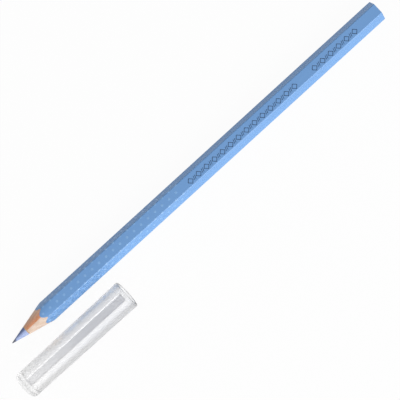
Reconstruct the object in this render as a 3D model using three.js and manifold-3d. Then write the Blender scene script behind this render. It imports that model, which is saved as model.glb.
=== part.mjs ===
// Fabric marking pencil, with its clear cap taken off and laid beside its point.
// Millimetres. +X runs from the point to the plain end, +Z is up, and the table is z = 0.
// The origin is on the flat that the pencil lies on, at the middle of its length.
import * as THREE from "three";
import { mergeVertices, toCreasedNormals } from "three/addons/utils/BufferGeometryUtils.js";
import Module from "manifold-3d";

const { degToRad } = THREE.MathUtils;

// The barrel: a hexagon with softened edges, lacquered all over
const pencilLength = 175;
const acrossFlats = 7.2;
const edgeRadius = 0.5;
const lacquerThickness = 0.12;

// The core, and the glue film that holds it and joins the two slats
const coreDiameter = 3.5;
const glueThickness = 0.1;

// The sharpened end
const coneHalfAngle = degToRad(13.4);
const pointRadius = 0.15;

// The cap: a drafted tube, closed at one end
const capLength = 49;
const capWall = 1;
const capEndWall = 2.6;
const capDraft = degToRad(0.45);
const closedEdgeRadius = 1.7;
const boreEndRadius = 0.8;
const rimRadius = 0.5;
const leadInLength = 1.5;
const leadInFlare = 0.25;

// The cap's three inner lands, which grip every second flat of the barrel
const landWidth = 2.4;
const landNose = 0.25; // how long the slope at a land's mouth end is
const boreClearance = 0.42; // from the barrel's edges to the bore, at the mouth
const landClearance = 0.12; // from the barrel's flats to the lands, at their mouth end
const pointRoom = 4.2; // from the point to the end wall with the cap on

// Where the cap lies: level with the place where it is worn, to one side, with one land on top
const capGap = 5.06;

// How finely round forms are cut
const roundSegments = 96;
const edgeSegments = 6;
const arcSegments = 8;
const overcut = 1; // how far a cutting form runs past what it cuts

// Worked out from the values above
const flatRadius = acrossFlats / 2;
const cornerRadius = (flatRadius - edgeRadius) / Math.cos(Math.PI / 6) + edgeRadius;
const coreRadius = coreDiameter / 2;
const pointX = -pencilLength / 2;
const rearX = pencilLength / 2;

const wasm = await Module();
wasm.setup();

// A closed geometry as a solid that can be joined and cut.
function solidOf(geometry) {
  const bare = geometry.clone();
  bare.deleteAttribute("normal");
  bare.deleteAttribute("uv");
  const merged = mergeVertices(bare, 1e-5);
  const corners = merged.index.array;
  const triVerts = [];
  for (let i = 0; i < corners.length; i += 3) {
    const [a, b, c] = corners.slice(i, i + 3);
    if (a !== b && b !== c && c !== a) triVerts.push(a, b, c);
  }
  return new wasm.Manifold(
    new wasm.Mesh({
      numProp: 3,
      vertProperties: merged.attributes.position.array,
      triVerts: new Uint32Array(triVerts),
    }),
  );
}

// A solid as a geometry whose round faces are smooth and whose edges are crisp.
function geometryOf(solid) {
  const { vertProperties, triVerts } = solid.getMesh();
  const geometry = new THREE.BufferGeometry();
  geometry.setAttribute("position", new THREE.BufferAttribute(vertProperties, 3));
  geometry.setIndex(new THREE.BufferAttribute(triVerts, 1));
  return toCreasedNormals(geometry, degToRad(20));
}

// Points [x, radius] along a quarter or part of a circle, from one angle to another.
function arc(x, radiusAt, radius, from, to) {
  return Array.from({ length: arcSegments + 1 }, (_, i) => {
    const angle = from + ((to - from) * i) / arcSegments;
    return [x + radius * Math.cos(angle), radiusAt + radius * Math.sin(angle)];
  });
}

// A profile of [x, radius] points turned about the X axis. It starts and ends on the axis.
function revolve(profile) {
  const points = profile.map(([x, radius]) => new THREE.Vector2(radius, x));
  const turned = new THREE.LatheGeometry(points, roundSegments);
  const axisToX = new THREE.Matrix4().makeBasis(
    new THREE.Vector3(0, 0, 1),
    new THREE.Vector3(1, 0, 0),
    new THREE.Vector3(0, 1, 0),
  );
  return solidOf(turned.applyMatrix4(axisToX));
}

// An outline of [y, z] points run along X between two stations.
function prism(outline, fromX, toX) {
  const shape = new THREE.Shape(outline.map(([y, z]) => new THREE.Vector2(y, z)));
  const run = new THREE.ExtrudeGeometry(shape, { depth: toX - fromX, bevelEnabled: false });
  const depthToX = new THREE.Matrix4().makeBasis(
    new THREE.Vector3(0, 1, 0),
    new THREE.Vector3(0, 0, 1),
    new THREE.Vector3(1, 0, 0),
  );
  return solidOf(run.applyMatrix4(depthToX).translate(fromX, 0, 0));
}

function rectangle(lowY, lowZ, highY, highZ) {
  return [[lowY, lowZ], [highY, lowZ], [highY, highZ], [lowY, highZ]];
}

// The barrel's section, set in from the lacquer's outside by a depth. Flats face up and down.
function hexagon(depth) {
  const radius = edgeRadius - depth;
  const toEdgeCentre = (flatRadius - edgeRadius) / Math.cos(Math.PI / 6);
  const points = [];
  for (let edge = 0; edge < 6; edge += 1) {
    const facing = (edge * Math.PI) / 3;
    for (let i = 0; i <= edgeSegments; i += 1) {
      const angle = facing + (i / edgeSegments - 0.5) * (Math.PI / 3);
      points.push([
        toEdgeCentre * Math.cos(facing) + radius * Math.cos(angle),
        toEdgeCentre * Math.sin(facing) + radius * Math.sin(angle),
      ]);
    }
  }
  return points;
}

const frontX = pointX - overcut;
const backX = rearX + overcut;

// Everything that the sharpener leaves: a rounded point, its cone, and the barrel behind it.
function sharpenedSpace() {
  const wideRadius = cornerRadius + overcut;
  const apexX = pointX + pointRadius - pointRadius / Math.sin(coneHalfAngle);
  return revolve([
    ...arc(pointX + pointRadius, 0, pointRadius, Math.PI, Math.PI / 2 + coneHalfAngle),
    [apexX + wideRadius / Math.tan(coneHalfAngle), wideRadius],
    [backX, wideRadius],
    [backX, 0],
  ]);
}

// The pencil's pieces, as whole prisms and rods that are then sharpened together.
function pencilSolids() {
  const wood = prism(hexagon(lacquerThickness), frontX, rearX);
  const rod = (radius) => revolve([[frontX, 0], [frontX, radius], [rearX, radius], [rearX, 0]]);
  const halfGlue = glueThickness / 2;
  const film = prism(rectangle(-cornerRadius, -halfGlue, cornerRadius, halfGlue), frontX, rearX);
  const core = rod(coreRadius);
  const bed = film.add(rod(coreRadius + glueThickness));
  const above = prism(rectangle(-cornerRadius, 0, cornerRadius, cornerRadius), frontX, backX);
  const below = prism(rectangle(-cornerRadius, -cornerRadius, cornerRadius, 0), frontX, backX);
  const slats = wood.subtract(bed);
  const sharpened = sharpenedSpace();
  return {
    slat_upper: slats.intersect(above).intersect(sharpened),
    slat_lower: slats.intersect(below).intersect(sharpened),
    glue_line: bed.intersect(wood).subtract(core).intersect(sharpened),
    marking_core: core.intersect(sharpened),
    lacquer_coat: prism(hexagon(0), frontX, rearX).subtract(wood).intersect(sharpened),
  };
}

// The cap's own X runs from its closed end, x = 0, to its mouth.
const mouthBoreRadius = cornerRadius + boreClearance;
const mouthRadius = mouthBoreRadius + capWall;
const draftTo = (x) => (capLength - x) * Math.tan(capDraft);
const outerRadius = (x) => mouthRadius - draftTo(x);
const boreRadius = (x) => mouthBoreRadius - draftTo(x);

// The length of barrel in the worn cap, and how far its flats run back from the point.
const wornDepth = capLength - capEndWall - pointRoom;
const flatsFromPoint =
  (flatRadius - pointRadius / Math.cos(coneHalfAngle)) / Math.tan(coneHalfAngle) + pointRadius;

// One land: a bar whose face leans in, so that it meets the flats where the worn barrel's flats begin.
function land() {
  const mouthX = capLength - leadInLength;
  const gripX = capLength - wornDepth + flatsFromPoint;
  const slope = landClearance / (mouthX - gripX);
  const faceAt = (x) => flatRadius + (x - gripX) * slope;
  const outside = mouthRadius;
  const side = [
    [0, faceAt(0)],
    [mouthX - landNose, faceAt(mouthX - landNose)],
    [mouthX, boreRadius(mouthX)],
    [mouthX, outside],
    [0, outside],
  ];
  const shape = new THREE.Shape(side.map(([x, height]) => new THREE.Vector2(x, height)));
  const bar = new THREE.ExtrudeGeometry(shape, { depth: landWidth, bevelEnabled: false });
  return solidOf(bar.translate(0, 0, -landWidth / 2).rotateX(Math.PI / 2));
}

function capSolid() {
  const closedRadius = outerRadius(closedEdgeRadius) - closedEdgeRadius;
  const outside = revolve([
    [0, 0],
    ...arc(closedEdgeRadius, closedRadius, closedEdgeRadius, Math.PI, Math.PI / 2),
    ...arc(capLength - rimRadius, outerRadius(capLength - rimRadius) - rimRadius, rimRadius, Math.PI / 2, 0),
    [capLength, 0],
  ]);
  const boreEndX = capEndWall + boreEndRadius;
  const leadInX = capLength - leadInLength;
  const bore = revolve([
    [capEndWall, 0],
    ...arc(boreEndX, boreRadius(boreEndX) - boreEndRadius, boreEndRadius, Math.PI, Math.PI / 2),
    [leadInX, boreRadius(leadInX)],
    [capLength, mouthBoreRadius + leadInFlare],
    [capLength + overcut, mouthBoreRadius + leadInFlare],
    [capLength + overcut, 0],
  ]);
  const oneLand = land();
  let hollow = bore;
  for (let flat = 0; flat < 6; flat += 2) {
    hollow = hollow.subtract(oneLand.rotate([flat * 60, 0, 0]));
  }
  return outside.subtract(hollow);
}

const finishes = {
  wood: new THREE.MeshStandardMaterial({ color: 0xd9b48f, roughness: 0.75 }),
  glue: new THREE.MeshStandardMaterial({ color: 0xcdb48c, roughness: 0.6 }),
  core: new THREE.MeshStandardMaterial({ color: 0x8f9fd8, roughness: 0.7 }),
  lacquer: new THREE.MeshStandardMaterial({ color: 0x6f9fd3, roughness: 0.3 }),
  cap: new THREE.MeshStandardMaterial({ color: 0xf2f4f8, roughness: 0.15, transparent: true, opacity: 0.35 }),
};
const finishNames = {
  slat_upper: "wood",
  slat_lower: "wood",
  glue_line: "glue",
  marking_core: "core",
  lacquer_coat: "lacquer",
  cap: "cap",
};

function piece(name, solid) {
  const mesh = new THREE.Mesh(geometryOf(solid), finishes[finishNames[name]]);
  mesh.name = name;
  return mesh;
}

// The pencil lies on a flat, so its axis is half the distance across the flats above the table.
const pencil = new THREE.Group();
pencil.position.z = flatRadius;
for (const [name, solid] of Object.entries(pencilSolids())) pencil.add(piece(name, solid));

// The drafted cap lies along its side, so its axis drops towards its closed end by the draft.
const cap = new THREE.Group();
cap.position.set(
  pointX - pointRoom - capEndWall,
  -(cornerRadius + capGap + mouthRadius),
  outerRadius(0) * Math.cos(capDraft),
);
cap.rotation.y = -capDraft;
cap.add(piece("cap", capSolid()));

const markingPencil = new THREE.Group();
markingPencil.add(pencil, cap);

export default markingPencil;
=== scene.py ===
# %% [markdown]
# # A fabric marking pencil and its clear cap
#
# The pencil is a hexagonal, lacquered wood case round a chalky blue core, sharpened to a long cone.
# Its round clear cap is off and lies beside the point. The construction comes from the packed
# model, in metres, with +X from the point to the plain end and the table at z = 0. This lesson
# dresses it: each piece gets a fine surface and a finish of its own.

# %% Load the construction
import math

import bmesh
import bpy
import numpy as np
from mathutils import Matrix, Vector


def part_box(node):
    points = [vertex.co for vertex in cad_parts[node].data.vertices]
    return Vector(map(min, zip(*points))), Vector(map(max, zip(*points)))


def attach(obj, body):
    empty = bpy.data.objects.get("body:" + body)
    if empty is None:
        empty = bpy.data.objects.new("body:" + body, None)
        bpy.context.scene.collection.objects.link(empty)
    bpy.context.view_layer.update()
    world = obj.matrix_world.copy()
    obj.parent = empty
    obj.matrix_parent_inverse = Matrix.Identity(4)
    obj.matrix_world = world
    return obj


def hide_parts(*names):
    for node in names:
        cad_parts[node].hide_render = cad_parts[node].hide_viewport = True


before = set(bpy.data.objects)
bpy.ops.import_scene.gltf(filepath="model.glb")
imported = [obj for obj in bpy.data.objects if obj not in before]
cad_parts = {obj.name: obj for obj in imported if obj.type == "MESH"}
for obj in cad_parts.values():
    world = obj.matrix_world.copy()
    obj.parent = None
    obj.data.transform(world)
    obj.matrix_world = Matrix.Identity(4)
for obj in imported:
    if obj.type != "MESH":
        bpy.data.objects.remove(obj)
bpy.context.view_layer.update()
MM = 0.001  # metres in a millimetre
print("CAD nodes:", sorted(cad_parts))

# %% [markdown]
# ## Sizes read from the construction
#
# Nothing is measured twice. The boxes of the CAD nodes give the distance across the flats and
# across the edges, the lacquer's and the glue's thickness, the core and the sharpened cone. Two
# circles on the cone, one where the wood starts and one where the lacquer's inside starts, give
# its angle.

# %% Read the sizes
lacquer_low, lacquer_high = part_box("lacquer_coat")
slat_low, slat_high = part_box("slat_upper")
core_low, core_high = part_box("marking_core")
lower_slat_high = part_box("slat_lower")[1]

axis_z = (lacquer_low.z + lacquer_high.z) / 2
flat_radius = (lacquer_high.z - lacquer_low.z) / 2
corner_radius = (lacquer_high.y - lacquer_low.y) / 2
lacquer_thickness = lacquer_high.z - slat_high.z
glue_thickness = slat_low.z - lower_slat_high.z
core_radius = (core_high.y - core_low.y) / 2
groove_radius = core_radius + glue_thickness
point_x, rear_x = core_low.x, core_high.x
print("across flats %.2f mm, core %.2f mm" % (2 * flat_radius / MM, 2 * core_radius / MM))

# %% Work out the rounded edges and the cone
SECTOR = math.pi / 3  # one side of the hexagon, seen from the axis
STRETCH = 1 / math.cos(SECTOR / 2)  # how much further out a sharp corner is than a flat

edge_radius = (flat_radius * STRETCH - corner_radius) / (STRETCH - 1)
cone_slope = (flat_radius - lacquer_thickness - groove_radius) / (lacquer_low.x - slat_low.x)
apex_x = slat_low.x - groove_radius / cone_slope
cone_sine = cone_slope / math.hypot(1, cone_slope)
point_radius = (point_x - apex_x) / (1 / cone_sine - 1)
print("edges rounded to %.2f mm, point to %.2f mm" % (edge_radius / MM, point_radius / MM))
print("cone half angle %.1f degrees" % math.degrees(math.atan(cone_slope)))

# %% [markdown]
# ## The camera
#
# The photograph was taken from close overhead, half a metre up, with the camera leaning a little
# towards the cap. It is rolled so that the pencil climbs across the picture from lower left to
# upper right. So near, perspective hides the plain end and looks slightly into the cap's mouth.

# %% Place the camera
PHOTO_PIXELS = 400
SENSOR_MM = 36.0
CAMERA_DISTANCE = 0.48
CAMERA_TARGET = Vector((-4.17 * MM, -7.06 * MM, 0))
LEAN_TO_CAP = math.radians(4.58)
PICTURE_ROLL = math.radians(-42.46)
METRES_PER_PIXEL = 0.35652 * MM
NEAREST, FARTHEST = 0.01, 10  # the distances between which the camera sees


def place_camera():
    """The camera looks back along the leaning line of sight, rolled to the picture's right."""
    back = Vector((0, -math.tan(LEAN_TO_CAP), 1)).normalized()
    right = Vector((math.cos(PICTURE_ROLL), math.sin(PICTURE_ROLL), 0))
    right = (right - right.dot(back) * back).normalized()
    up = back.cross(right)
    lens = bpy.data.cameras.new("camera")
    lens.sensor_width = SENSOR_MM
    lens.lens = SENSOR_MM * CAMERA_DISTANCE / (METRES_PER_PIXEL * PHOTO_PIXELS)
    lens.clip_start, lens.clip_end = NEAREST, FARTHEST
    seat = bpy.data.objects.new("camera", lens)
    turn = Matrix((right, up, back)).transposed().to_4x4()
    seat.matrix_world = Matrix.Translation(CAMERA_TARGET + CAMERA_DISTANCE * back) @ turn
    bpy.context.scene.collection.objects.link(seat)
    bpy.context.scene.camera = seat
    return lens.lens


print("lens %.0f mm" % place_camera())

# %% [markdown]
# ## One helper for every surface
#
# Each piece is a grid of points: rows run one way over its surface and columns the other way. The
# helper joins neighbours into quads, closes the grid where it meets itself, merges the points that
# meet at a pole, and turns all faces outwards.

# %% Grids into meshes
POLE_MERGE = 2e-7  # metres within which points become one
SHARP_ANGLE = 35  # degrees between faces, from which an edge stays crisp


def grid_faces(rows, columns, wrap_rows, wrap_columns):
    """Quads between each point, its neighbour along the row, and the two below them."""
    down = np.arange(rows if wrap_rows else rows - 1)[:, None]
    across = np.arange(columns if wrap_columns else columns - 1)[None, :]
    next_down, next_across = (down + 1) % rows, (across + 1) % columns
    corners = [down * columns + across, down * columns + next_across]
    corners += [next_down * columns + next_across, next_down * columns + across]
    return np.stack([np.broadcast_to(c, corners[0].shape) for c in corners], -1).reshape(-1, 4)


def piece_from(name, points, faces, body, sharp_angle=SHARP_ANGLE):
    """A mesh object that rides on a body, with its poles merged and its faces outwards."""
    mesh = bpy.data.meshes.new(name)
    faces = faces if isinstance(faces, list) else faces.tolist()
    mesh.from_pydata(points.reshape(-1, 3).tolist(), [], faces)
    work = bmesh.new()
    work.from_mesh(mesh)
    bmesh.ops.remove_doubles(work, verts=work.verts, dist=POLE_MERGE)
    bmesh.ops.recalc_face_normals(work, faces=work.faces)
    work.to_mesh(mesh)
    work.free()
    mesh.shade_smooth()
    mesh.set_sharp_from_angle(angle=math.radians(sharp_angle))
    piece = bpy.data.objects.new(name, mesh)
    bpy.context.scene.collection.objects.link(piece)
    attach(piece, body)
    print("%s: %d faces" % (name, len(mesh.polygons)))
    return piece


def turned(x, radius, angle):
    """A point at a radius from the pencil's axis, turned from +Y towards +Z by an angle."""
    y, z = radius * np.cos(angle), axis_z + radius * np.sin(angle)
    return np.stack(np.broadcast_arrays(x, y, z), -1)


print("a closed grid of 4 by 6 points has %d quads" % len(grid_faces(4, 6, True, True)))

# %% [markdown]
# ## The barrel's section in one formula
#
# A softened hexagon has two kinds of stretch. Seen from the axis at an angle t from the middle of
# a flat, a flat that stands A from the axis lies at A / cos t. Near an edge, at an angle b from
# it, the surface is a circle of radius r whose centre stands c from the axis, and it lies at
# c cos b + sqrt(r^2 - c^2 sin^2 b). A surface inside the lacquer has the same centre c, with A
# and r both smaller by its depth.

# %% The softened hexagon
edge_centre = (flat_radius - edge_radius) * STRETCH
half_flat_width = edge_centre * math.sin(SECTOR / 2)


def barrel_radius(angle, depth=0.0):
    """Distance from the axis to the barrel's surface, at an angle and a depth in the lacquer."""
    off_edge = np.mod(angle + SECTOR / 2, SECTOR) - SECTOR / 2
    off_flat = SECTOR / 2 - np.abs(off_edge)
    radius = edge_radius - depth
    flat = (flat_radius - depth) / np.cos(off_flat)
    inside = np.maximum(radius**2 - (edge_centre * np.sin(off_edge)) ** 2, 0)
    round_edge = edge_centre * np.cos(off_edge) + np.sqrt(inside)
    on_flat = (flat_radius - depth) * np.tan(off_flat) <= half_flat_width
    return np.where(on_flat, flat, round_edge)


def barrel_angles(per_flat, per_edge):
    """Angles round the barrel, close together on the round edges and wider on the flats."""
    half_flat = math.atan(half_flat_width / flat_radius)
    half_edge = SECTOR / 2 - half_flat
    edge = np.linspace(-half_edge, half_edge, per_edge, endpoint=False)
    flat = np.linspace(half_edge, SECTOR - half_edge, per_flat, endpoint=False)
    one_side = np.concatenate([edge, flat])
    return (np.arange(6)[:, None] * SECTOR + one_side[None, :]).ravel()


def cone_x(radius):
    """Where the sharpened cone has that radius."""
    return apex_x + radius / cone_slope


at_flat, at_edge = barrel_radius(np.array([SECTOR / 2, 0.0])) / MM
print("radius at a flat %.3f mm, at an edge %.3f mm" % (at_flat, at_edge))

# %% [markdown]
# ## Finishes from nodes
#
# Every finish is procedural and reads Object coordinates, which are metres in the model's own
# frame, so a pattern keeps its real scale. A few small helpers keep the node trees readable: one
# starts a material, one adds a node and fills or links its inputs, and the rest make the places,
# blends, noises and bumps that the finishes share.

# %% Helpers for finishes
def start_finish(name, **sockets):
    """A material with a Principled shader whose sockets are set from keywords."""
    material = bpy.data.materials.new(name)
    material.use_nodes = True
    tree = material.node_tree
    shader = tree.nodes["Principled BSDF"]
    for socket, value in sockets.items():
        shader.inputs[socket.replace("_", " ")].default_value = value
    return material, tree, shader


def add(tree, kind, inputs=None, **settings):
    """A new node. Inputs go by name or number: a socket is linked, any other value is set."""
    node = tree.nodes.new("ShaderNode" + kind)
    for key, value in settings.items():
        setattr(node, key, value)
    for key, value in (inputs or {}).items():
        if isinstance(value, bpy.types.NodeSocket):
            tree.links.new(value, node.inputs[key])
        else:
            node.inputs[key].default_value = value
    return node


def linear(red, green, blue, alpha=1.0):
    """A colour as it looks on screen, 0 to 255, in the linear values that shaders take."""
    share = np.array([red, green, blue]) / 255
    low, high = share / 12.92, ((share + 0.055) / 1.055) ** 2.4
    return (*np.where(share <= 0.04045, low, high).tolist(), alpha)


print("mid grey, 128 on screen, is %.3f to a shader" % linear(128, 128, 128)[0])

# %% Helpers for patterns
MIX_FACTOR, MIX_LOW, MIX_HIGH, MIX_RESULT = 0, 6, 7, 2  # a colour Mix node's socket numbers


def object_position(tree, scale=(1, 1, 1), location=(0, 0, 0)):
    """Object coordinates in millimetres, stretched by a scale for each axis and then moved."""
    place = add(tree, "TexCoord").outputs["Object"]
    inputs = {"Vector": place, "Scale": [share / MM for share in scale], "Location": location}
    return add(tree, "Mapping", inputs).outputs["Vector"]


def blend_colours(tree, factor, low, high):
    """A colour between two, by a factor from 0 to 1."""
    inputs = {MIX_FACTOR: factor, MIX_LOW: low, MIX_HIGH: high}
    return add(tree, "Mix", inputs, data_type="RGBA").outputs[MIX_RESULT]


def between(tree, value, low, high, to_low=0.0, to_high=1.0):
    """A value's range from low to high, mapped smoothly onto another range."""
    ends = {"From Min": low, "From Max": high, "To Min": to_low, "To Max": to_high}
    inputs = {"Value": value, **ends}
    return add(tree, "MapRange", inputs, interpolation_type="SMOOTHSTEP").outputs["Result"]


def noise(tree, place, scale, detail):
    """Noise from 0 to 1 at a place, whose largest spots are 1 / scale across."""
    inputs = {"Vector": place, "Scale": scale, "Detail": detail}
    return add(tree, "TexNoise", inputs).outputs["Fac"]


def bump(tree, height, distance, strength, under=None):
    """A bump whose height map rises by a distance in metres."""
    inputs = {"Height": height, "Distance": distance, "Strength": strength}
    if under is not None:
        inputs["Normal"] = under
    return add(tree, "Bump", inputs).outputs["Normal"]


print("patterns are laid out in millimetres")

# %% [markdown]
# ## The lacquer coat
#
# The barrel is dipped many times, so the coat is a real skin about a tenth of a millimetre thick.
# The sharpener cuts it back along the cone: the flats are nearer to the axis than the edges, so
# the cut runs further forward on each flat and leaves six scallops. Each row of the grid is a
# closed loop: back along the outside, in at the plain end, forward along the inside, and out along
# the cone. Small chips make the cut edge slightly ragged.

# %% Build the lacquer coat
CHIP_DEPTH = 0.10 * MM
CHIP_WAVES = ((1.0, 17, 0.6), (0.8, 41, 2.1), (0.6, 73, 4.0))  # height, waves round, phase
INNER_CHIP = 0.5  # how far the skin's inside is chipped, next to its outside
END_SOFTENING = 0.04 * MM
LACQUER_PER_FLAT, LACQUER_PER_EDGE = 28, 12  # rows of the grid
LACQUER_ALONG = 24  # points of a row, along the outside


def chipped(angle):
    """How far the cut edge is chipped back: waves round the barrel, only where they peak."""
    waves = sum(height * np.sin(count * angle + phase) for height, count, phase in CHIP_WAVES)
    highest = sum(height for height, _, _ in CHIP_WAVES)
    return CHIP_DEPTH * np.clip(waves / highest, 0, 1) ** 2


def build_lacquer():
    """Rows of (x, radius) loops, one for each angle round the barrel."""
    angle = barrel_angles(LACQUER_PER_FLAT, LACQUER_PER_EDGE)
    outer, inner = barrel_radius(angle), barrel_radius(angle, lacquer_thickness)
    chips = chipped(angle)
    front_outer, front_inner = cone_x(outer) + chips, cone_x(inner) + INNER_CHIP * chips
    back = np.linspace(0, 1, LACQUER_ALONG)
    outside_x = front_outer[:, None] + (rear_x - END_SOFTENING - front_outer)[:, None] * back
    at_rear = np.full((len(angle), 2), rear_x)
    x = np.concatenate([outside_x, at_rear, front_inner[:, None]], 1)
    outside = np.repeat(outer[:, None], LACQUER_ALONG, 1)
    softened = np.stack([outer - END_SOFTENING, inner], 1)
    radius = np.concatenate([outside, softened, inner[:, None]], 1)
    points = turned(x, radius, angle[:, None])
    faces = grid_faces(*x.shape, True, True)
    return piece_from("lacquer_skin", points, faces, "pencil")


lacquer = build_lacquer()
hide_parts("lacquer_coat")

# %% [markdown]
# ## The lacquer's finish
#
# The colour is a clear light blue. Real lacquer is never quite even: it pools a little, it has a
# faint orange peel, and handling leaves it duller in places. Noise at three scales gives that. The
# clear coat over it is soft, so each flat takes one even sheen and only the rounded edges catch a
# line of light.

# %% Finish the lacquer
def lacquer_finish():
    """Light blue that pools a little, duller where it is handled, with a faint orange peel."""
    material, tree, shader = start_finish(
        "light_blue_lacquer", IOR=2.0, Coat_Weight=1.0, Coat_Roughness=0.45
    )
    pooled = noise(tree, object_position(tree, (0.05, 0.4, 0.4)), 1.0, 3.0)
    colour = blend_colours(tree, pooled, linear(88, 153, 220), linear(96, 161, 226))
    tree.links.new(colour, shader.inputs["Base Color"])
    handled = noise(tree, object_position(tree, (0.3, 1, 1)), 0.6, 4.0)
    tree.links.new(between(tree, handled, 0.3, 0.7, 0.5, 0.58), shader.inputs["Roughness"])
    peel = noise(tree, object_position(tree, (0.6, 1, 1)), 1.3, 2.0)
    tree.links.new(bump(tree, peel, 0.02 * MM, 0.6), shader.inputs["Normal"])
    return material


lacquer.data.materials.append(lacquer_finish())
print("lacquer finished")

# %% [markdown]
# ## The grip dots
#
# Rows of small raised dots run along the front half of the barrel, one row on each flat and one on
# each edge, with neighbouring rows half a step apart. A dot is a low dome of thick varnish. To lay
# it over a rounded edge, its disc is drawn in the barrel's unrolled surface, by distance along the
# barrel and distance round it, and then wrapped: up to the end of the round edge the surface
# turns with radius r, and beyond it runs straight.

# %% Build the grip dots
DOT_PITCH = 3.33 * MM
DOT_RADIUS = 0.5 * MM
DOT_HEIGHT = 0.03 * MM
DOME_REACH = np.array([0.0, 0.4, 0.75, 1.0, 1.0, 0.0])  # each ring's radius, next to the dot's
DOME_RISE = np.array([1.0, 0.86, 0.45, 0.0, -0.4, -0.4])  # each ring's height, next to the dot's
DOT_CORNERS = 12
FIRST_FLAT_DOT = 15.56 * MM  # from the point
DOTTED_LENGTH = 81 * MM  # from the point
arc_half = edge_radius * SECTOR / 2  # half of the way round a rounded edge


def on_barrel(x, round_distance, height, edge):
    """A point at a distance round the barrel from the middle of an edge, and a height over it."""
    turn = np.clip(round_distance, -arc_half, arc_half) / edge_radius
    beyond = round_distance - turn * edge_radius
    bend = edge_radius + height
    out = edge_centre + bend * np.cos(turn) - beyond * np.sin(turn)
    side = bend * np.sin(turn) + beyond * np.cos(turn)
    angle = edge * SECTOR
    y = out * np.cos(angle) - side * np.sin(angle)
    z = axis_z + out * np.sin(angle) + side * np.cos(angle)
    return np.stack(np.broadcast_arrays(x, y, z), -1)


def dot_places():
    """Each dot's x, its distance round the barrel from an edge's middle, and the edge's number."""
    flat_x = point_x + np.arange(FIRST_FLAT_DOT, DOTTED_LENGTH, DOT_PITCH)
    edge_x = flat_x + DOT_PITCH / 2
    x = np.concatenate([np.tile(edge_x, 6), np.tile(flat_x, 6)])
    aside = np.repeat([0.0, arc_half + half_flat_width], [6 * len(edge_x), 6 * len(flat_x)])
    edge = np.concatenate([np.repeat(np.arange(6), len(row)) for row in (edge_x, flat_x)])
    return x, aside, edge


def build_dots():
    """All dots at once: the arrays run over dots, rings of a dome, and points round a ring."""
    centre_x, aside, edge = (row[:, None, None] for row in dot_places())
    swing = np.linspace(0, 2 * math.pi, DOT_CORNERS, endpoint=False)
    reach = DOT_RADIUS * DOME_REACH[None, :, None]
    height = DOT_HEIGHT * DOME_RISE[None, :, None]
    x, round_distance = centre_x + reach * np.cos(swing), aside + reach * np.sin(swing)
    points = on_barrel(x, round_distance, height, edge)
    one = grid_faces(len(DOME_REACH), DOT_CORNERS, False, True)
    starts = np.arange(len(edge))[:, None, None] * len(DOME_REACH) * DOT_CORNERS
    print("%d dots" % len(edge))
    faces = (one[None] + starts).reshape(-1, 4)
    return piece_from("grip_dots", points, faces, "pencil", sharp_angle=60)


dots = build_dots()

# %% Finish the dots
def dot_finish():
    """Varnish a little paler and glossier than the lacquer."""
    material, tree, shader = start_finish(
        "pale_varnish", IOR=2.0, Roughness=0.4, Coat_Weight=1.0, Coat_Roughness=0.3
    )
    uneven = noise(tree, object_position(tree), 1.1, 3.0)
    colour = blend_colours(tree, uneven, linear(112, 172, 232), linear(122, 180, 237))
    tree.links.new(colour, shader.inputs["Base Color"])
    return material


dots.data.materials.append(dot_finish())
print("dots finished")

# %% [markdown]
# ## The wood
#
# Two slats are glued face to face round the core. Each is a fan of closed profiles: out along the
# sharpened cone, back under the lacquer, in across the plain end and forward along the groove. The
# fan stops short of the seam by half the glue's thickness g at every radius R, so the angle there
# starts at arcsin(g / 2R). The blade leaves fine chatter marks on the cone.

# %% Build the two slats
CHATTER_PITCH = 0.55 * MM
CHATTER_DEPTH = 0.008 * MM
SLAT_PROFILES = 181  # in a slat's half turn
SLAT_ON_CONE, SLAT_ON_END = 70, 14  # points of a profile


def chatter(x, angle):
    """Depth of the blade's marks: a shallow screw thread that comes and goes round the cone."""
    thread = np.sin(2 * math.pi * x / CHATTER_PITCH + 3 * angle + 0.8 * np.sin(5 * angle))
    strength = 0.6 + 0.4 * np.sin(2 * angle + 900 * x)
    return CHATTER_DEPTH * (1 + thread) / 2 * strength


def build_slat(name, node, side):
    """Closed profiles in a fan from seam to seam, above it for a side of +1 and below for -1."""
    fan = np.linspace(0, math.pi, SLAT_PROFILES)[:, None]
    outer = barrel_radius(side * fan, lacquer_thickness)
    cut = groove_radius + (outer - groove_radius) * np.linspace(0, 1, SLAT_ON_CONE)[None, :]
    end = outer + (groove_radius - outer) * np.linspace(0, 1, SLAT_ON_END)[None, :]
    x = np.concatenate([cone_x(cut), np.full_like(end, rear_x)], 1)
    radius = np.concatenate([cut - chatter(cone_x(cut), fan), end], 1)
    radius[:, -1] = groove_radius
    seam = np.arcsin(glue_thickness / 2 / radius)
    angle = side * (seam + (math.pi - 2 * seam) * fan / math.pi)
    profiles, columns = x.shape
    faces = grid_faces(profiles, columns, False, True).tolist()
    last = (profiles - 1) * columns
    faces += [list(range(columns)), list(range(last, last + columns))]
    slat = piece_from(name, turned(x, radius, angle), faces, "pencil")
    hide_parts(node)
    return slat


upper_wood = build_slat("upper_wood", "slat_upper", 1)
lower_wood = build_slat("lower_wood", "slat_lower", -1)

# %% [markdown]
# ## The wood's finish
#
# Grain is a solid pattern. Each year's growth is a broad band that goes from reddish brown to pale,
# laid so that the cone's side away from the lamp falls on the brown, as painted shade, and the side
# facing it on the pale, as painted light. Over it lie fine rings round the tree's heart, far to one
# side of the pencil, and fibres and pores as streaks along +X. Because the pattern fills space, the
# cone, where fibres are cut at a slant, and the plain end both come out right.

# %% Finish the wood
YEAR_WIDTH = 6.5  # millimetres from one dark line to the next
WAVES_PER_SCALE = 20 / (2 * math.pi)  # a Wave texture's waves in a unit of length, at scale 1
YEAR_SCALE = 1 / YEAR_WIDTH / WAVES_PER_SCALE


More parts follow.
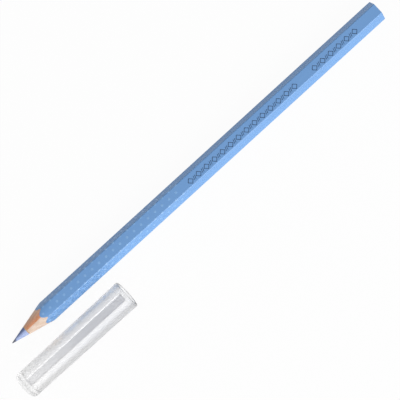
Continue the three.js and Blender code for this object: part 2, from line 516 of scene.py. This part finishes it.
def year_bands_and_shade(tree):
    """Share of tan late growth, as painted shade: 1 at each dark line, fading to 0 across the year.
    """
    across = object_position(tree, (0.05, 1, 0.3), (0, 0.45, 0))
    inputs = {"Vector": across, "Scale": YEAR_SCALE, "Distortion": 0.5, "Detail": 2.0}
    bands = add(tree, "TexWave", inputs, bands_direction="Y", wave_profile="SAW").outputs["Fac"]
    return between(tree, bands, 0.0, 0.65, 1.0, 0.0)


def wood_finish():
    """Year bands of tan and pale wood as painted shade and light, fine rings, pale fibres, dark
    pores.
    """
    material, tree, shader = start_finish("bare_wood", IOR=1.45, Roughness=0.62)
    heart = object_position(tree, (0.02, 1, 1), (0, 9, -31))
    inputs = {"Vector": heart, "Scale": 0.32, "Distortion": 2.2, "Detail": 2.0}
    rings = add(tree, "TexWave", inputs, wave_type="RINGS", rings_direction="X").outputs["Fac"]
    pale = blend_colours(tree, rings, linear(243, 221, 205), linear(235, 209, 188))
    tan = blend_colours(tree, rings, linear(232, 153, 108), linear(222, 141, 94))
    # the tan lies on the cone's side away from the lamp as painted shade, the pale on the side
    # facing it as painted light
    base = blend_colours(tree, year_bands_and_shade(tree), pale, tan)
    fibre = noise(tree, object_position(tree, (0.1, 3.2, 3.2)), 1.6, 5.0)
    streaks = between(tree, fibre, 0.4, 0.75, 0, 0.5)
    streaked = blend_colours(tree, streaks, base, linear(238, 208, 182))
    pores = noise(tree, object_position(tree, (0.35, 6, 6), (3, 1, 2)), 1.9, 1.0)
    dark = between(tree, pores, 0.62, 0.72, 0, 0.4)
    colour = blend_colours(tree, dark, streaked, linear(168, 112, 76))
    tree.links.new(colour, shader.inputs["Base Color"])
    lifted = bump(tree, fibre, 0.05 * MM, 0.5)
    tree.links.new(bump(tree, dark, -0.04 * MM, 0.5, lifted), shader.inputs["Normal"])
    return material


bare_wood = wood_finish()
for slat in (upper_wood, lower_wood):
    slat.data.materials.append(bare_wood)
print("wood finished")

# %% [markdown]
# ## The glue line
#
# The film of dried glue stays as the construction made it. It shows only as a hairline on the cone
# and on the plain end, so it needs a colour close to the wood and a little gloss.

# %% Finish the glue line
def glue_finish():
    """Dried glue, cloudy and close to the wood in colour, with a little gloss."""
    material, tree, shader = start_finish("dried_glue", IOR=1.45, Roughness=0.4)
    cloudy = noise(tree, object_position(tree), 2.0, 2.0)
    colour = blend_colours(tree, cloudy, linear(206, 168, 126), linear(222, 190, 152))
    tree.links.new(colour, shader.inputs["Base Color"])
    return material


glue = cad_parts["glue_line"]
glue.data.materials.clear()
glue.data.materials.append(glue_finish())
print("glue line finished")

# %% [markdown]
# ## The marking core
#
# The core is chalk and pigment bound with a little wax. It is softer than the wood, so the blade
# leaves it slightly grainy. The side away from the cap and the lamp carries painted shade, and the
# fine point is greyer. Its profile runs from the rounded tip up the cone, along the rod inside the
# wood, and across the plain end.

# %% Build the core
GRAIN_DEPTH = 0.01 * MM
CORE_ON_TIP, CORE_ON_CONE, CORE_ON_END = 9, 60, 10  # points of the profile
CORE_PROFILES = 160


def core_profile():
    """(x, radius) from the tip: an arc that meets the cone squarely, the cone, and the end."""
    half_angle = math.atan(cone_slope)
    swing = np.linspace(0, math.pi / 2 - half_angle, CORE_ON_TIP)
    tip_x = point_x + point_radius * (1 - np.cos(swing))
    tip_radius = point_radius * np.sin(swing)
    cone_radius = np.linspace(tip_radius[-1], core_radius, CORE_ON_CONE)[1:]
    end_radius = np.linspace(core_radius, 0, CORE_ON_END)
    x = np.concatenate([tip_x, cone_x(cone_radius), np.full(CORE_ON_END, rear_x)])
    return x, np.concatenate([tip_radius, cone_radius, end_radius])


def grain(x, angle):
    """Depth of the chalk's grain, 0 to 1: two crossing screw waves and a finer one over them."""
    crossing = np.sin(x * 9000 + 7 * angle) * np.sin(x * 15000 - 11 * angle)
    return (1 + 0.5 * (crossing + np.sin(23 * angle + 4000 * x))) / 2


def build_core():
    """The profile turned about the axis, with the cone's surface grained inwards."""
    x, radius = core_profile()
    angle = np.linspace(0, 2 * math.pi, CORE_PROFILES, endpoint=False)[:, None]
    on_cone = (x > point_x + 3 * point_radius) & (x < rear_x - MM) & (radius < core_radius)
    grained = radius[None, :] - GRAIN_DEPTH * on_cone * grain(x, angle)
    faces = grid_faces(CORE_PROFILES, len(x), True, False)
    core = piece_from("marking_point", turned(x[None, :], grained, angle), faces, "pencil")
    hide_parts("marking_core")
    return core


core = build_core()

# %% Finish the core
SHADED_SIDE = (-0.2, 0.8)  # millimetres towards +Y, where the painted shade starts and is full
GREY_POINT_FADE = (1.2, 2.4)  # millimetres from the point, where the grey starts to fade and is gone


def core_finish():
    """Speckled, dragged chalk, with painted shade on the side away from the cap, greyer at the
    point.
    """
    material, tree, shader = start_finish("blue_chalk", IOR=1.4, Roughness=0.6)
    place = object_position(tree)
    specks = noise(tree, place, 5.0, 4.0)
    speckled = between(tree, specks, 0.35, 0.7)
    chalk = blend_colours(tree, speckled, linear(168, 186, 236), linear(202, 216, 251))
    drags = noise(tree, object_position(tree, (0.4, 2, 2)), 1.4, 3.0)
    dragged = between(tree, drags, 0.45, 0.75, 0, 0.4)
    chalk = blend_colours(tree, dragged, chalk, linear(140, 158, 206))
    where = add(tree, "SeparateXYZ", {"Vector": place}).outputs
    # painted shade on the side away from the cap and the lamp
    painted_far_shade = between(tree, where["Y"], *SHADED_SIDE, 0.0, 0.85)
    chalk = blend_colours(tree, painted_far_shade, chalk, linear(96, 114, 164))
    # the fine point turns grey
    handled = between(tree, where["X"], *(point_x / MM + reach for reach in GREY_POINT_FADE), 0.85, 0.0)
    colour = blend_colours(tree, handled, chalk, linear(98, 98, 106))
    tree.links.new(colour, shader.inputs["Base Color"])
    tree.links.new(bump(tree, specks, 0.04 * MM, 0.7), shader.inputs["Normal"])
    return material


core.data.materials.append(core_finish())
print("core finished")

# %% [markdown]
# ## The cap
#
# The cap is one clear moulding: a tube with a slight draft, closed and softly rounded at one end,
# with a flared lead-in at its mouth. Three flat lands inside grip every second flat of the barrel,
# and one of them is on top. One profile from the middle of the closed end, along the outside, over
# the rim and back down the bore covers it all. In the bore, the radius at an angle t from the
# middle of a land is h / cos t on the land, whose face stands h from the axis, and the bore's own
# radius beside it, with the step softened. The cap lies on its drafted side, so all of it is
# tilted by the draft.

# %% Cap sizes, as in the construction
CAP_LENGTH = 49 * MM
CAP_DRAFT = math.radians(0.45)
CAP_WALL = 1 * MM
CAP_END_WALL = 2.6 * MM
CLOSED_EDGE = 1.7 * MM
BORE_END_EDGE = 0.8 * MM
RIM_EDGE = 0.5 * MM
LEAD_IN = 1.5 * MM
LEAD_FLARE = 0.25 * MM
LAND_WIDTH = 2.4 * MM
LAND_NOSE = 0.25 * MM
LAND_CLEARANCE = 0.12 * MM
BORE_CLEARANCE = 0.42 * MM
POINT_ROOM = 4.2 * MM
LANDS = 3

cap_low, cap_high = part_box("cap")
cap_middle_y = (cap_low.y + cap_high.y) / 2
mouth_bore = corner_radius + BORE_CLEARANCE
mouth_radius = mouth_bore + CAP_WALL
worn_depth = CAP_LENGTH - CAP_END_WALL - POINT_ROOM
grip_x = CAP_LENGTH - worn_depth + cone_x(flat_radius) - point_x  # a worn barrel's flats begin
closed_end_x = point_x - POINT_ROOM - CAP_END_WALL
lead_x = CAP_LENGTH - LEAD_IN
nose_x = lead_x - LAND_NOSE


def drafted(radius, x):
    """A radius at the mouth, drawn in towards the closed end by the draft."""
    return radius - (CAP_LENGTH - x) * math.tan(CAP_DRAFT)


closed_end_radius = drafted(mouth_radius, 0)
box_width = (cap_high.y - cap_low.y) / MM
print("cap %.1f mm across its mouth, %.1f mm in its box" % (2 * mouth_radius / MM, box_width))

# %% The cap's profile
def arc(centre_x, centre_radius, radius, start, end, count):
    """(x, radius) along part of a circle, at angles in degrees."""
    swing = np.radians(np.linspace(start, end, count))
    return np.stack([centre_x + radius * np.cos(swing), centre_radius + radius * np.sin(swing)])


def run(start, end, count):
    """(x, radius) evenly along a straight line, without its ends."""
    share = np.linspace(0, 1, count + 2)[1:-1]
    return np.array(start)[:, None] + (np.array(end) - np.array(start))[:, None] * share


def cap_outside():
    """The profile from the middle of the closed end to the rim."""
    round_radius = drafted(mouth_radius, CLOSED_EDGE) - CLOSED_EDGE
    closed = arc(CLOSED_EDGE, round_radius, CLOSED_EDGE, 180, 90, count=14)
    rim_x = CAP_LENGTH - RIM_EDGE
    rim = arc(rim_x, drafted(mouth_radius, rim_x) - RIM_EDGE, RIM_EDGE, 90, 0, count=7)
    face = run((0, 0), closed[:, 0], count=8)
    wall = run(closed[:, -1], rim[:, 0], count=40)
    return np.concatenate([np.zeros((2, 1)), face, closed, wall, rim], 1)


def cap_inside():
    """The profile from the flared lead-in, down the bore, to the middle of the end wall."""
    lip = np.array([[CAP_LENGTH], [mouth_bore + LEAD_FLARE]])
    lead = np.array([[lead_x], [drafted(mouth_bore, lead_x)]])
    centre = np.array([[CAP_END_WALL], [0]])
    end_x = CAP_END_WALL + BORE_END_EDGE
    round_radius = drafted(mouth_bore, end_x) - BORE_END_EDGE
    end = arc(end_x, round_radius, BORE_END_EDGE, 90, 180, count=9)
    flare = run(lip[:, 0], lead[:, 0], count=5)
    nose = run(lead[:, 0], (nose_x, drafted(mouth_bore, nose_x)), count=5)
    bore = run(nose[:, -1], end[:, 0], count=60)
    floor = run(end[:, -1], centre[:, 0], count=8)
    return np.concatenate([lip, flare, lead, nose, bore, end, floor, centre], 1)


outside, inside = cap_outside(), cap_inside()
print("%d points outside, %d inside" % (outside.shape[1], inside.shape[1]))

# %% The cap's lands
half_land = math.atan(LAND_WIDTH / 2 / (flat_radius + LAND_CLEARANCE))
half_sector = math.pi / LANDS
LAND_STEP = math.radians(1.5)  # over which a land's side rises from the bore
LAND_POINTS, STEP_POINTS, BORE_POINTS = 24, 5, 44  # on a land, on its side, on to the next one


def land_height(x):
    """A land's face, from the axis: a nose ramps up from the bore, and then it leans inwards."""
    slope = LAND_CLEARANCE / (lead_x - grip_x)
    face = flat_radius + (x - grip_x) * slope
    ramp = np.clip((x - nose_x) / LAND_NOSE, 0, 1)
    return face + ramp * (drafted(mouth_bore, x) - face)


def from_land(angle):
    """How far an angle round the cap is from the middle of the nearest land."""
    return np.abs(np.mod(angle - math.pi / 2 + half_sector, 2 * half_sector) - half_sector)


def cap_angles():
    """Angles round the cap, close together over each land and its two steps."""
    next_land = 2 * half_sector - half_land - LAND_STEP
    face = np.linspace(-half_land, half_land, LAND_POINTS)
    rise = np.linspace(0, LAND_STEP, STEP_POINTS)
    between_lands = np.linspace(half_land + LAND_STEP, next_land, BORE_POINTS)[1:]
    one_sector = [face, half_land + rise[1:], between_lands, next_land + rise[1:-1]]
    middles = math.pi / 2 + np.arange(LANDS)[:, None] * 2 * half_sector
    return (middles + np.concatenate(one_sector)).ravel()


print("each land spans %.0f degrees" % math.degrees(2 * half_land))

# %% Build the cap
def build_cap():
    """One profile for each angle round the cap. A land covers the angles its width spans."""
    angle = cap_angles()[:, None]
    off = from_land(angle)
    on_land = 1 - np.clip((off - half_land) / LAND_STEP, 0, 1)
    on_land = on_land**2 * (3 - 2 * on_land)
    bore = inside[1][None, :]
    face = land_height(inside[0])[None, :] / np.cos(np.minimum(off, half_land))
    inner = bore + on_land * (np.minimum(face, bore) - bore)
    radius = np.concatenate([np.repeat(outside[1][None, :], len(angle), 0), inner], 1)
    along = np.concatenate([outside[0], inside[0]])[None, :]
    across, up = radius * np.cos(angle), radius * np.sin(angle)
    x = closed_end_x + along * math.cos(CAP_DRAFT) - up * math.sin(CAP_DRAFT)
    z = (closed_end_radius + up) * math.cos(CAP_DRAFT) + along * math.sin(CAP_DRAFT)
    points = np.stack(np.broadcast_arrays(x, cap_middle_y + across, z), -1)
    faces = grid_faces(*radius.shape, True, False)
    cap = piece_from("clear_cap", points, faces, "cap")
    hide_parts("cap")
    return cap


cap = build_cap()

# %% Mark the lands' painted shade
SIDE_LAND_SHADE = 0.6  # next to the top land's painted shade
INSIDE_BY = 0.1 * MM  # how far a land's points are from the bore and the end wall, at least
ROUNDING = 0.001  # radians by which a point at a land's edge may be off


def mark_lands():
    """How much painted shade each point of the mesh takes: 1 on the top land, less on others, 0
    elsewhere.
    """
    place = np.empty(3 * len(cap.data.vertices))
    cap.data.vertices.foreach_get("co", place)
    x, y, z = place.reshape(-1, 3).T
    past_end, over_axis = x - closed_end_x, z - closed_end_radius
    along = past_end * math.cos(CAP_DRAFT) + over_axis * math.sin(CAP_DRAFT)
    up = over_axis * math.cos(CAP_DRAFT) - past_end * math.sin(CAP_DRAFT)
    radius, angle = np.hypot(y - cap_middle_y, up), np.arctan2(up, y - cap_middle_y)
    in_bore = (radius < drafted(mouth_bore, along) - INSIDE_BY) & (along > CAP_END_WALL + INSIDE_BY)
    on_land = in_bore & (from_land(angle) < half_land + ROUNDING)
    land_shade_share = on_land * np.where(up > 0, 1.0, SIDE_LAND_SHADE)
    cap.data.attributes.new("painted_land_shade", "FLOAT", "POINT").data.foreach_set("value", land_shade_share)
    return on_land.sum()


print("%d points on the lands" % mark_lands())

# %% [markdown]
# ## The cap's finish
#
# Clear styrene is nearly colourless, and the eye reads it by what it bends: pale where it shows the
# table straight through, grey where the wall is steep. The lands' faces carry painted shade, most
# of all the top one and towards the mouth, and the rest of the plastic takes a little painted shade
# towards the mouth. Clear plastic casts only a faint shadow, so rays that look for a lamp lose part
# of their light at each of its surfaces and go straight on.

# %% Finish the cap
SHADOW_PASS = 0.65  # the light that goes on, for shadows, at each of the plastic's surfaces
SHADE_RAMP_MM = (2, 32)  # where the painted shade starts and is full, in millimetres from the closed end
CLEAR_THEN_SHADED = ((1, 1, 1, 1), (0.975, 0.98, 0.99, 1))  # before the painted shade, and with it
# the lands' grey before the painted shade, and with it
SHADED_LAND = ((0.76, 0.76, 0.785, 1), (0.43, 0.44, 0.485, 1))


def clear_plastic_finish():
    """Clear styrene, with painted shade on the lands, that lets shadow rays straight through,
    dimmed.
    """
    material, tree, shader = start_finish(
        "clear_styrene", Transmission_Weight=1.0, IOR=1.5, Roughness=0.33
    )
    land_shade_share = add(tree, "Attribute", attribute_name="painted_land_shade").outputs["Fac"]
    along = add(tree, "SeparateXYZ", {"Vector": object_position(tree)}).outputs["X"]
    # the plastic and the lands take painted shade towards the mouth
    mouth_shade = between(tree, along, *(cap_low.x / MM + distance for distance in SHADE_RAMP_MM))
    clear = blend_colours(tree, mouth_shade, *CLEAR_THEN_SHADED)
    shaded_land_colour = blend_colours(tree, mouth_shade, *SHADED_LAND)
    tree.links.new(blend_colours(tree, land_shade_share, clear, shaded_land_colour), shader.inputs["Base Color"])
    dimmed = {"Color": (SHADOW_PASS, SHADOW_PASS, SHADOW_PASS, 1)}
    passed = add(tree, "BsdfTransparent", dimmed).outputs[0]
    shadow = add(tree, "LightPath").outputs["Is Shadow Ray"]
    lit = add(tree, "MixShader", {0: shadow, 1: shader.outputs[0], 2: passed}).outputs[0]
    tree.links.new(lit, tree.nodes["Material Output"].inputs["Surface"])
    return material


cap.data.materials.append(clear_plastic_finish())
print("cap finished")

# %% [markdown]
# ## Printed marks
#
# Behind the dots the top face carries a dark blue foil print: a row of open diamonds with pairs of
# slanted stitches between them, in two lengths, a little nearer to the cap. Each stroke is a thin
# plate on the flat, two hundredths of a millimetre high, like pressed foil.

# %% Build the printed marks
MARK_HEIGHT = 0.02 * MM
MARK_PITCH = 3.8 * MM
MARK_SHIFT = -0.45 * MM  # the row's middle, from the middle of the flat
LINE_WIDTH = 0.2 * MM
DIAMOND = (1.05 * MM, 1.05 * MM)  # half its length and half its width
STITCH_GAP = 0.6 * MM  # between the two stitches of a pair
STITCH_REACH = np.array([0.25 * MM, 0.75 * MM])  # from a stitch's middle to its end
LONG_ROW = (83.5 * MM, 136 * MM)  # from the point
SHORT_ROW = (142.5 * MM, 163.5 * MM)  # from the point
BOX_SIDES = [[0, 4, 5, 1], [1, 5, 6, 2], [2, 6, 7, 3], [3, 7, 4, 0]]
BOX_FACES = np.array([[0, 1, 2, 3], [4, 7, 6, 5], *BOX_SIDES])  # points 0 to 3 are the top's


def stroke(start, end):
    """A straight bar's four corners: each end, moved half a line's width to either side."""
    ahead = (end - start) / np.hypot(*(end - start))
    aside = LINE_WIDTH / 2 * np.array([-ahead[1], ahead[0]])
    return np.array([start - aside, end - aside, end + aside, start + aside])


def diamond_strokes():
    """Four bars from corner to corner, two of them scaled up a little, to close the corners."""
    length, width = DIAMOND
    past = 1 + LINE_WIDTH / 2 / length
    corners = np.array([(length, 0), (0, width), (-length, 0), (0, -width)])
    bars = [stroke(*ends) for ends in zip(corners, np.roll(corners, -1, axis=0))]
    return [bars[0], bars[1] * past, bars[2], bars[3] * past]


def stitch_strokes():
    """Two slanted stitches side by side."""
    middles = [np.array([x, 0]) for x in (-STITCH_GAP / 2, STITCH_GAP / 2)]
    return [stroke(middle - STITCH_REACH, middle + STITCH_REACH) for middle in middles]


def build_marks():
    """Open diamonds with stitches between, as thin plates with sides down into the flat."""
    plates = []
    for low, high in (LONG_ROW, SHORT_ROW):
        centres = point_x + np.arange(low + MARK_PITCH / 2, high, MARK_PITCH)
        plates += [bar + (centre, MARK_SHIFT) for centre in centres for bar in diamond_strokes()]
        gaps = centres[:-1] + MARK_PITCH / 2
        plates += [bar + (gap, MARK_SHIFT) for gap in gaps for bar in stitch_strokes()]
    plates = np.array(plates)
    count = len(plates)
    levels = (2 * flat_radius + MARK_HEIGHT, 2 * flat_radius - MARK_HEIGHT / 2)
    layers = [np.concatenate([plates, np.full((count, 4, 1), level)], 2) for level in levels]
    points = np.concatenate(layers, 1)
    faces = BOX_FACES[None] + 8 * np.arange(count)[:, None, None]
    print("%d strokes" % count)
    return piece_from("foil_marks", points, faces.reshape(-1, 4), "pencil")


marks = build_marks()

# %% Finish the printed marks
def foil_finish():
    """Navy foil, paler where it is worn."""
    material, tree, shader = start_finish("navy_foil", IOR=1.5, Roughness=0.35)
    worn = between(tree, noise(tree, object_position(tree), 2.2, 4.0), 0.5, 0.75, 0, 0.6)
    colour = blend_colours(tree, worn, linear(34, 62, 96), linear(70, 110, 156))
    tree.links.new(colour, shader.inputs["Base Color"])
    return material


marks.data.materials.append(foil_finish())
print("marks finished")

# %% [markdown]
# ## The table and the light
#
# The photograph's background is pure white. The table is a white sheet. For rays from the camera,
# from gloss and through clear plastic, a share of it is an even white of strength 1, so that it
# stays white and still keeps a faint shadow. One wide soft lamp stands low on the cap's side: it
# brightens the flats and the side of the cone that face it, and draws the bright strips along the
# cap. Because it is wide it can be dim for its size, and the light that comes through the cap
# leaves little grain. The sky fills the rest, brighter overhead than at the horizon, and it too is
# white to the camera and through clear plastic.

# %% Lay the table
TABLE_SIZE = 3.0
PAPER = (0.9, 0.9, 0.9, 1)
WHITE = (1, 1, 1, 1)
TABLE_WHITE = {"Is Camera Ray": 0.95, "Is Glossy Ray": 0.2, "Is Transmission Ray": 0.85}


def white_for(tree, shares, level):
    """A level, raised to each kind of ray's share of white where the ray is of that kind."""
    path = add(tree, "LightPath")
    for kind, amount in shares.items():
        inputs = {0: path.outputs[kind], 1: amount}
        seen = add(tree, "Math", inputs, operation="MULTIPLY").outputs[0]
        level = add(tree, "Math", {0: seen, 1: level}, operation="MAXIMUM").outputs[0]
    return level


def build_table():
    """One square face at z = 0, which belongs to the stage and not to the object."""
    mesh = bpy.data.meshes.new("table")
    half = TABLE_SIZE / 2
    corners = [(-half, -half, 0), (half, -half, 0), (half, half, 0), (-half, half, 0)]
    mesh.from_pydata(corners, [], [(0, 1, 2, 3)])
    table = bpy.data.objects.new("table", mesh)
    bpy.context.scene.collection.objects.link(table)
    return table


def table_finish():
    """White paper, mixed with an even white by the share for each kind of ray."""
    material = bpy.data.materials.new("white_sheet")
    material.use_nodes = True
    tree = material.node_tree
    tree.nodes.clear()
    share = white_for(tree, TABLE_WHITE, 0.0)
    paper = add(tree, "BsdfDiffuse", {"Color": PAPER}).outputs[0]
    white = add(tree, "Emission", {"Color": WHITE, "Strength": 1.0}).outputs[0]
    mixed = add(tree, "MixShader", {0: share, 1: paper, 2: white}).outputs[0]
    add(tree, "OutputMaterial", {"Surface": mixed})
    return material


table = build_table()
table.data.materials.append(table_finish())
print("table laid")

# %% Set the lamp and the sky
KEY_ELEVATION = math.radians(27.5)
KEY_DISTANCE = 0.9
KEY_SIZE = (1.8, 0.8)  # along the pencil, and up
KEY_WATTS = 9.7
SKY_LOW, SKY_HIGH = 0.1, 0.68  # the sky's strength at the horizon and overhead
SKY_WHITE = {"Is Camera Ray": 1.0, "Is Transmission Ray": 0.8}


def add_key():
    """A wide soft lamp on the cap's side of the pencil, aimed at the origin."""
    light = bpy.data.lights.new("key", "AREA")
    light.shape = "RECTANGLE"
    light.size, light.size_y = KEY_SIZE
    light.energy = KEY_WATTS
    lamp = bpy.data.objects.new("key", light)
    away = Vector((0, -math.cos(KEY_ELEVATION), math.sin(KEY_ELEVATION)))
    aim = away.to_track_quat("Z", "Y").to_matrix().to_4x4()
    lamp.matrix_world = Matrix.Translation(KEY_DISTANCE * away) @ aim
    bpy.context.scene.collection.objects.link(lamp)


def light_sky():
    """A white world whose strength rises with the height that a ray comes from."""
    world = bpy.data.worlds.new("soft_sky")
    world.use_nodes = True
    sky = world.node_tree
    background = sky.nodes["Background"]
    background.inputs["Color"].default_value = WHITE
    direction = add(sky, "TexCoord").outputs["Generated"]
    upward = add(sky, "SeparateXYZ", {"Vector": direction}).outputs["Z"]
    inputs = {"Value": upward, "To Min": SKY_LOW, "To Max": SKY_HIGH}
    level = add(sky, "MapRange", inputs).outputs["Result"]
    sky.links.new(white_for(sky, SKY_WHITE, level), background.inputs["Strength"])
    bpy.context.scene.world = world


add_key()
light_sky()
bpy.context.scene.view_settings.view_transform = "Standard"
print("lamp and sky set")
